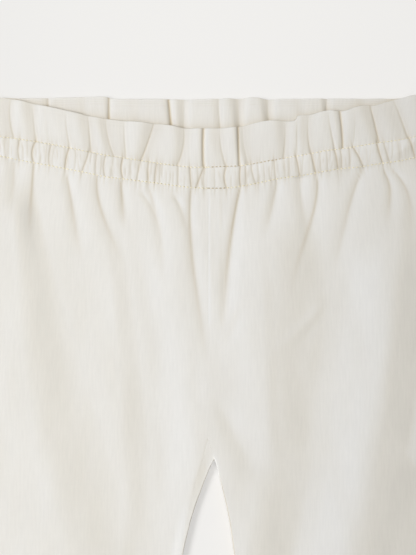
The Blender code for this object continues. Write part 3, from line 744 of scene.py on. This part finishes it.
def join_rows(upper, lower, upper_x, lower_x):
    """Faces between two rows of points: quads where their numbers agree, else triangles across the strip."""
    if len(upper) == len(lower):
        return np.stack([upper[:-1], lower[:-1], lower[1:], upper[1:]], axis=1).tolist()
    faces = []
    direction = np.sign(upper_x[-1] - upper_x[0])
    i = j = 0
    while i < len(upper) - 1 or j < len(lower) - 1:
        step_upper = j == len(lower) - 1 or (
            i < len(upper) - 1
            and (upper_x[i + 1] + upper_x[i]) * direction <= (lower_x[j + 1] + lower_x[j]) * direction
        )
        if step_upper:
            faces.append([upper[i], lower[j], upper[i + 1]])
            i += 1
        else:
            faces.append([upper[i], lower[j], lower[j + 1]])
            j += 1
    return faces


def thinned(count, step):
    """Numbers from 0 to count - 1 by steps, with the last one."""
    return np.unique(np.append(np.arange(0, count, step), count - 1))


def shell_mesh(name, rows, side):
    """A closed shell through a panel's rows, with a UV map in metres of cloth.

    It stores the painted shade at each point, in its creases and along its edges, and how far it leans away
    from the light, for painted warm shade and cool light.
    """
    starts = np.cumsum([0] + [len(row.x) for row in rows])
    x, down, top, bottom, hidden = (np.concatenate(column) for column in zip(*rows))
    outer = [np.arange(starts[k], starts[k + 1]) for k in range(len(rows))]
    inside = [outer[k][thinned(len(outer[k]), INSIDE_STEPS)] for k in thinned(len(rows), INSIDE_ROWS)]
    kept = np.concatenate(inside)
    number = np.full(len(x), -1)
    number[kept] = np.arange(len(kept)) + len(x)
    source = np.concatenate([np.arange(len(x)), kept])

    faces = []
    for upper, lower in zip(outer, outer[1:]):
        faces += join_rows(upper, lower, x[upper], x[lower])
    for upper, lower in zip(inside, inside[1:]):
        faces += [face[::-1] for face in join_rows(number[upper], number[lower], x[upper], x[lower])]
    first, last = inside[0], inside[-1]
    faces += join_rows(number[first], outer[0], x[first], x[outer[0]])
    faces += join_rows(outer[-1], number[last], x[outer[-1]], x[last])
    for end, turned in ((0, False), (-1, True)):
        line = np.array([row[end] for row in outer])
        under = np.array([row[end] for row in inside])
        strip = join_rows(line, number[under], down[line], down[under])
        faces += [face[::-1] for face in strip] if turned else strip
    if side < 0:
        faces = [face[::-1] for face in faces]

    height = np.concatenate([top, bottom[kept]])
    points = np.stack([x[source], LENGTH / 2 - down[source], height], axis=1) * MM
    mesh = bpy.data.meshes.new(name)
    mesh.from_pydata(points.tolist(), [], [[int(i) for i in face] for face in faces])
    mesh.update()
    normals = np.empty(3 * len(points), np.float32)
    mesh.vertex_normals.foreach_get("vector", normals)
    # Painted light and shade: how far each point leans away from the light, which turns its colour from a
    # cooler painted light to a warmer painted shade.
    away = np.clip(0.5 + PAINTED_LEAN_GAIN * normals[::3], 0.0, 1.0)
    for attribute, values in (("crease_depth", hidden[source]), ("away", away)):
        made = mesh.attributes.new(attribute, "FLOAT", "POINT")
        made.data.foreach_set("value", values.astype(np.float32))
    cloth_x = (x * half_width(CROTCH_DOWN) / half_width(down))[source]
    cloth_y = down[source]
    corners = np.empty(len(mesh.loops), np.int32)
    mesh.loops.foreach_get("vertex_index", corners)
    uv = mesh.uv_layers.new(name="cloth")
    uv.data.foreach_set("uv", np.stack([cloth_x[corners], -cloth_y[corners]], axis=1).ravel() * MM)
    mesh.shade_smooth()
    return mesh


def add_object(name, data):
    made = bpy.data.objects.new(name, data)
    bpy.context.scene.collection.objects.link(made)
    return made


def set_inputs(tree, node, inputs):
    """Sets a node's inputs, each to a value or to what another node puts out."""
    for name, value in inputs.items():
        if isinstance(value, bpy.types.NodeSocket):
            tree.links.new(value, node.inputs[name])
        else:
            node.inputs[name].default_value = value


def add_node(tree, kind, inputs, **options):
    """A new node's outputs. Its options are set first, because they decide which inputs it has."""
    node = tree.nodes.new(kind)
    for name, value in options.items():
        setattr(node, name, value)
    set_inputs(tree, node, inputs)
    return node.outputs


def stored(tree, name):
    """What the shape stores at each point under a name."""
    return add_node(tree, "ShaderNodeAttribute", {}, attribute_name=name)["Fac"]


def calculated(tree, operation, inputs, **options):
    """A maths node's result. Its inputs are numbered from 0."""
    return add_node(tree, "ShaderNodeMath", inputs, operation=operation, **options)["Value"]


def blended(tree, share, first, second):
    """A colour this share of the way from the first to the second."""
    inputs = {"Factor": share, "A": first, "B": second}
    return add_node(tree, "ShaderNodeMix", inputs, data_type="RGBA")["Result"]


def start_material(name, inputs):
    """A material with its shader's inputs set, its node tree and that shader."""
    material = bpy.data.materials.new(name)
    material.use_nodes = True
    shader = material.node_tree.nodes["Principled BSDF"]
    set_inputs(material.node_tree, shader, inputs)
    return material, material.node_tree, shader


def denim_material(name, settings):
    """Cream twill: slubby warp streaks, a fine diagonal rib, painted shade, warmer and darker, down in the
    creases, and painted light and shade by which way the cloth leans.
    """
    material, tree, shader = start_material(name, {
        "Roughness": 0.93, "Specular IOR Level": 0.18, "Sheen Weight": 0.12, "Sheen Roughness": 0.55,
    })
    uv = add_node(tree, "ShaderNodeUVMap", {}, uv_map="cloth")["UV"]

    def stretched_noise(scale_across, scale_down, detail):
        place = add_node(tree, "ShaderNodeMapping", {"Scale": (scale_across, scale_down, 1.0), "Vector": uv})
        inputs = {"Scale": 1.0, "Detail": detail, "Vector": place["Vector"]}
        return add_node(tree, "ShaderNodeTexNoise", inputs)["Fac"]

    def spread(noise, reach):
        """The middle part of a noise, spread from as far below 0 as the reach to as far above it."""
        inputs = {"From Min": 0.3, "From Max": 0.7, "To Min": -reach, "To Max": reach, "Value": noise}
        return add_node(tree, "ShaderNodeMapRange", inputs)["Result"]

    warp = stretched_noise(900.0, 90.0, 3.0)
    weft = stretched_noise(60.0, 700.0, 2.0)
    cloudy = stretched_noise(22.0, 16.0, 2.0)
    tone = calculated(tree, "ADD", {0: spread(warp, 0.022), 1: spread(weft, 0.003)})
    tone = calculated(tree, "ADD", {0: tone, 1: spread(cloudy, 0.012)})
    shade = calculated(tree, "ADD", {0: tone, 1: 1.0})
    # Lit and shaded copies of the cloth's colour: painted light towards the light, painted shade away from
    # it.
    towards, away = (
        (*(part * share for part, share in zip(settings.cloth_colour, tint)), 1.0)
        for tint in (PAINTED_LIGHT_TINT, PAINTED_SHADE_TINT)
    )
    colour = blended(tree, stored(tree, "away"), towards, away)
    # Painted shade: the darker, warmer fold colour deep in the creases and troughs.
    colour = blended(tree, stored(tree, "crease_depth"), colour, (*settings.painted_fold_colour, 1.0))
    toned = add_node(tree, "ShaderNodeVectorMath", {0: colour, "Scale": shade}, operation="SCALE")

    inputs = {"Scale": 640.0, "Distortion": 1.5, "Vector": uv}
    twill = add_node(tree, "ShaderNodeTexWave", inputs, bands_direction="DIAGONAL")
    rib = calculated(tree, "MULTIPLY", {0: twill["Fac"], 1: 0.2})
    relief = calculated(tree, "ADD", {0: rib, 1: warp})
    bump = add_node(tree, "ShaderNodeBump", {"Strength": 0.35, "Distance": 0.00012, "Height": relief})
    set_inputs(tree, shader, {"Base Color": toned["Vector"], "Normal": bump["Normal"]})
    return material


def make_panel(settings, name, side, rows, node):
    """One panel of the trousers, in its place in the frame."""
    piece = add_object(name, shell_mesh(name, rows, side))
    piece.data.materials.append(denim_material(name + "_denim", settings))
    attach(piece, BODY)
    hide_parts(node)
    return piece


def front_height(settings, panel, x, level):
    """The height of a front's outer face at places along a level, read from the row through them."""
    ends = row_ends(level, panel)
    row = across(ends, FRILL_STEPS)
    top, _ = front_surface(settings, panel, row, level, ends)
    order = np.argsort(row)
    return np.interp(x, row[order], top[order])


def thread_material(settings):
    """Thread, darker in its dark lengths and a little darker in some stitches than in others."""
    material, tree, shader = start_material("thread", {"Roughness": 0.7, "Sheen Weight": 0.1})
    inputs = {0: stored(tree, "stitch_chance"), 1: 0.2, 2: stored(tree, "dark_length")}
    dark = calculated(tree, "MULTIPLY_ADD", inputs, use_clamp=True)
    colour = blended(tree, dark, (*settings.thread_colour, 1.0), (*settings.dark_thread_colour, 1.0))
    set_inputs(tree, shader, {"Base Color": colour})
    return material


def stitch_tree(material):
    """Geometry nodes that set a stitch at every point of a path, in line with it, and make them one mesh."""
    tree = bpy.data.node_groups.new("stitches_along_path", "GeometryNodeTree")
    face = tree.interface
    face.new_socket("Path", in_out="INPUT", socket_type="NodeSocketGeometry")
    sockets = {}
    for name in ("Pitch", "Length", "Radius"):
        sockets[name] = face.new_socket(name, in_out="INPUT", socket_type="NodeSocketFloat").identifier
    face.new_socket("Stitches", in_out="OUTPUT", socket_type="NodeSocketGeometry")

    given = add_node(tree, "NodeGroupInput", {})
    curve = add_node(tree, "GeometryNodeMeshToCurve", {"Mesh": given["Path"]})
    inputs = {"Curve": curve["Curve"], "Length": given["Pitch"]}
    points = add_node(tree, "GeometryNodeCurveToPoints", inputs, mode="LENGTH")
    ball = add_node(tree, "GeometryNodeMeshUVSphere", {"Segments": 8, "Rings": 6})
    half = calculated(tree, "DIVIDE", {0: given["Length"], 1: 2.0})
    thin = calculated(tree, "MULTIPLY", {0: given["Radius"], 1: 0.8})
    size = add_node(tree, "ShaderNodeCombineXYZ", {"X": given["Radius"], "Y": thin, "Z": half})
    placed = add_node(tree, "GeometryNodeInstanceOnPoints", {
        "Points": points["Points"], "Instance": ball["Mesh"],
        "Rotation": points["Rotation"], "Scale": size["Vector"],
    })
    chance = add_node(tree, "FunctionNodeRandomValue", {"Seed": 7}, data_type="FLOAT")
    inputs = {"Geometry": placed["Instances"], "Name": "stitch_chance", "Value": chance[1]}
    shape = add_node(tree, "GeometryNodeStoreNamedAttribute", inputs, domain="INSTANCE", data_type="FLOAT")
    for kind in ("RealizeInstances", "SetShadeSmooth"):
        shape = add_node(tree, "GeometryNode" + kind, {"Geometry": shape["Geometry"]})
    shape = add_node(tree, "GeometryNodeSetMaterial", {"Geometry": shape["Geometry"], "Material": material})
    add_node(tree, "NodeGroupOutput", {"Stitches": shape["Geometry"]})
    return tree, sockets


def make_stitches(name, paths, settings, material):
    """Stitches along each path, an array of points in metres with 1 for dark thread, as one plain mesh."""
    points = np.concatenate(paths)
    starts = np.cumsum([0] + [len(path) for path in paths])
    edges = [(int(k), int(k) + 1) for a, b in zip(starts, starts[1:]) for k in range(a, b - 1)]
    mesh = bpy.data.meshes.new(name + "_path")
    mesh.from_pydata(points[:, :3].tolist(), edges, [])
    dark = mesh.attributes.new("dark_length", "FLOAT", "POINT")
    dark.data.foreach_set("value", points[:, 3].astype(np.float32))
    guide = add_object(name + "_path", mesh)
    tree, sockets = stitch_tree(material)
    modifier = guide.modifiers.new("stitches", "NODES")
    modifier.node_group = tree
    modifier[sockets["Pitch"]] = settings.pitch * MM
    modifier[sockets["Length"]] = settings.stitch * MM
    modifier[sockets["Radius"]] = settings.thread / 2 * MM
    bpy.context.view_layer.update()
    shaped = guide.evaluated_get(bpy.context.evaluated_depsgraph_get())
    plain = bpy.data.meshes.new_from_object(shaped)
    plain.name = name
    piece = add_object(name, plain)
    bpy.data.objects.remove(guide, do_unlink=True)
    if not piece.data.materials:
        piece.data.materials.append(material)
    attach(piece, BODY)
    return piece


def number_setting(name, description, default, low=0.0):
    return bpy.props.FloatProperty(name=name, description=description, default=default, min=low)


def colour_setting(name, description, default):
    return bpy.props.FloatVectorProperty(
        name=name, description=description, subtype="COLOR", size=3, default=default, min=0.0, max=1.0
    )


class ClothSettings(bpy.types.PropertyGroup):
    """Sizes in millimetres, and colours, of the denim."""

    cloth: number_setting("Cloth", "Thickness of the denim, in mm", 0.9, 0.3)
    frill_lift: number_setting("Frill lift", "How far the front frill's edge stands up, in mm", 2.4)
    back_frill_lift: number_setting("Back frill lift", "How far the back frill's waves stand up, in mm", 1.8)
    casing_puff: number_setting("Casing puff", "How far the casing swells between its stitches, in mm", 1.8)
    pinch: number_setting("Pinch", "What is left of that on the stitched rows, in mm", 1.0)
    crease_cut: number_setting("Crease cut", "How deep a full crease of the casing is, in mm", 0.45)
    core_cut: number_setting("Core cut", "How deep a full sharp crease of a frill is, in mm", 0.45)
    stitch_pull: number_setting("Stitch pull", "How deep the stitches pull the cloth in, in mm", 0.07)
    pleat_dip: number_setting("Pleat dip", "How far a frill's edge dips at a full valley, in mm", 1.4)
    cloth_colour: colour_setting("Cloth", "Colour of the denim", (0.80, 0.785, 0.745))
    # The colour of the painted shade in the creases and troughs.
    painted_fold_colour: colour_setting("Folds", "Colour deep in the creases", (0.56, 0.48, 0.35))


class StitchSettings(bpy.types.PropertyGroup):
    """Sizes in millimetres, and colours, of the sewing."""

    pitch: number_setting("Pitch", "From stitch to stitch, in mm", STITCH_PITCH, 0.5)
    stitch: number_setting("Stitch", "Length of a stitch, in mm", 1.4, 0.2)
    thread: number_setting("Thread", "Thickness of the thread, in mm", 0.74, 0.1)
    thread_colour: colour_setting("Thread", "Colour of the thread", (0.88, 0.82, 0.62))
    dark_thread_colour: colour_setting("Dark thread", "Colour of the darker stitches", (0.55, 0.47, 0.32))


class StageSettings(bpy.types.PropertyGroup):
    """The floor, the light and the camera."""

    floor_colour: colour_setting("Floor", "Colour of the floor", (0.42, 0.417, 0.41))
    floor_glow: number_setting("Floor glow", "Light of the floor's own, which keeps it even", 0.463)
    far_glow: number_setting("Far glow", "How much more of it there is for each metre from the light", 0.27)
    key_place: bpy.props.FloatVectorProperty(
        name="Key place", description="Where the light from the left stands", subtype="XYZ", size=3,
        default=(-0.60, 0.20, 0.52),
    )
    sky: number_setting("Sky", "Strength of the light from all round", 0.44)
    key: number_setting("Key", "Power of the light from the left, in W", 1.17)
    lens: number_setting("Lens", "Focal length, in mm", 150.0, 20.0)
    view_height: number_setting("View height", "Height of cloth in the picture, in mm", 305.25, 50.0)
    view_down: number_setting("View centre", "The picture's middle, in mm down from the back frill", 99.8)


class TROUSERS_OT_backs(bpy.types.Operator):
    """Makes the two back panels, whose frills show above the front"""

    bl_idname = "trousers.backs"
    bl_label = "Back panels"

    def execute(self, context):
        settings = context.scene.trousers_cloth
        for name, side in (BACK_LEFT, BACK_RIGHT):
            rows = back_rows(settings, Panel(name, side))
            make_panel(settings, name + "_panel", side, rows, name)
        return {"FINISHED"}


class TROUSERS_OT_fronts(bpy.types.Operator):
    """Makes the two front panels, with their frill, gathered casing and folds"""

    bl_idname = "trousers.fronts"
    bl_label = "Front panels"

    def execute(self, context):
        settings = context.scene.trousers_cloth
        for name, side in (FRONT_LEFT, FRONT_RIGHT):
            rows = front_rows(settings, Panel(name, side))
            make_panel(settings, name + "_panel", side, rows, name)
        return {"FINISHED"}


class TROUSERS_OT_casing_stitches(bpy.types.Operator):
    """Sews the casing's two rows across the front"""

    bl_idname = "trousers.casing_stitches"
    bl_label = "Casing stitches"

    def execute(self, context):
        cloth = context.scene.trousers_cloth
        sewing = context.scene.trousers_stitches
        paths = []
        for level in (1.0, 2.0):
            for panel in (FRONT_RIGHT, FRONT_LEFT):
                ends = row_ends(level, panel)
                x = np.arange(min(ends) + SEWING_INSET, max(ends) - 2 * SEWING_INSET, SEWING_STEP)
                z = front_height(cloth, panel, x, level) - THREAD_SUNK
                y = LENGTH / 2 - down_at(level, x)
                dark = sum((x > run.first) & (x < run.last) for run in DARK_THREADS if run.level == level)
                paths.append(np.stack([x * MM, y * MM, z * MM, dark + np.zeros_like(x)], axis=1))
        make_stitches("casing_stitches", paths, sewing, thread_material(sewing))
        return {"FINISHED"}


class TROUSERS_OT_stage(bpy.types.Operator):
    """Lays the floor and sets the light and the overhead camera"""

    bl_idname = "trousers.stage"
    bl_label = "Stage"

    def execute(self, context):
        settings = context.scene.trousers_stage
        scene = context.scene
        mesh = bpy.data.meshes.new("floor")
        shape = bmesh.new()
        bmesh.ops.create_grid(shape, x_segments=1, y_segments=1, size=FLOOR_REACH)
        shape.to_mesh(mesh)
        shape.free()
        floor = add_object("floor", mesh)
        paper, tree, shader = start_material("floor_paper", {
            "Base Color": (*settings.floor_colour, 1.0), "Roughness": 1.0, "Specular IOR Level": 0.0,
            "Emission Color": GLOW_COLOUR,
        })
        place = add_node(tree, "ShaderNodeTexCoord", {})
        split = add_node(tree, "ShaderNodeSeparateXYZ", {"Vector": place["Object"]})
        inputs = {0: split["X"], 1: settings.far_glow, 2: settings.floor_glow}
        glow = calculated(tree, "MULTIPLY_ADD", inputs, use_clamp=True)
        set_inputs(tree, shader, {"Emission Strength": glow})
        mesh.materials.append(paper)
        floor.location.z = -FLOOR_SUNK

        world = bpy.data.worlds.new("soft_sky")
        world.use_nodes = True
        sky = world.node_tree.nodes["Background"]
        set_inputs(world.node_tree, sky, {"Color": SKY_COLOUR, "Strength": settings.sky})
        scene.world = world

        key_light = bpy.data.lights.new("key", "AREA")
        key_light.shape = "RECTANGLE"
        key_light.spread = math.radians(KEY_SPREAD)
        key_light.size, key_light.size_y = KEY_SIZE
        key_light.energy = settings.key
        key = add_object("key", key_light)
        key.location = settings.key_place
        aim = Vector(KEY_AIM) - Vector(settings.key_place)
        key.rotation_euler = aim.to_track_quat("-Z", "Y").to_euler()

        lens = bpy.data.cameras.new("overhead")
        lens.lens = settings.lens
        lens.sensor_width = SENSOR_WIDTH
        camera = add_object("overhead", lens)
        distance = settings.view_height * MM / lens.sensor_width * lens.lens
        camera.location = (0.0, (LENGTH / 2 - settings.view_down) * MM, distance + FOCUS_HEIGHT * MM)
        scene.camera = camera
        scene.view_settings.view_transform = "Standard"
        scene.view_settings.look = "None"
        return {"FINISHED"}


class TROUSERS_PT_sidebar(bpy.types.Panel):
    """Lists the steps that make the trousers"""

    bl_label = "Trousers"
    bl_space_type = "VIEW_3D"
    bl_region_type = "UI"
    bl_category = "Trousers"

    def draw(self, context):
        for step in STEPS:
            self.layout.operator(step.bl_idname)
        scene = context.scene
        for group in (scene.trousers_cloth, scene.trousers_stitches, scene.trousers_stage):
            for name in group.bl_rna.properties.keys():
                if name not in ("rna_type", "name"):
                    self.layout.prop(group, name)


STEPS = (TROUSERS_OT_stage, TROUSERS_OT_backs, TROUSERS_OT_fronts, TROUSERS_OT_casing_stitches)
CLASSES = (ClothSettings, StitchSettings, StageSettings, *STEPS, TROUSERS_PT_sidebar)


def register():
    for made in CLASSES:
        bpy.utils.register_class(made)
    bpy.types.Scene.trousers_cloth = bpy.props.PointerProperty(type=ClothSettings)
    bpy.types.Scene.trousers_stitches = bpy.props.PointerProperty(type=StitchSettings)
    bpy.types.Scene.trousers_stage = bpy.props.PointerProperty(type=StageSettings)


def unregister():
    del bpy.types.Scene.trousers_stage
    del bpy.types.Scene.trousers_stitches
    del bpy.types.Scene.trousers_cloth
    for made in reversed(CLASSES):
        bpy.utils.unregister_class(made)


def main():
    register()
    bpy.ops.trousers.stage()
    bpy.ops.trousers.backs()
    bpy.ops.trousers.fronts()
    bpy.ops.trousers.casing_stitches()


if __name__ == "__main__":
    main()
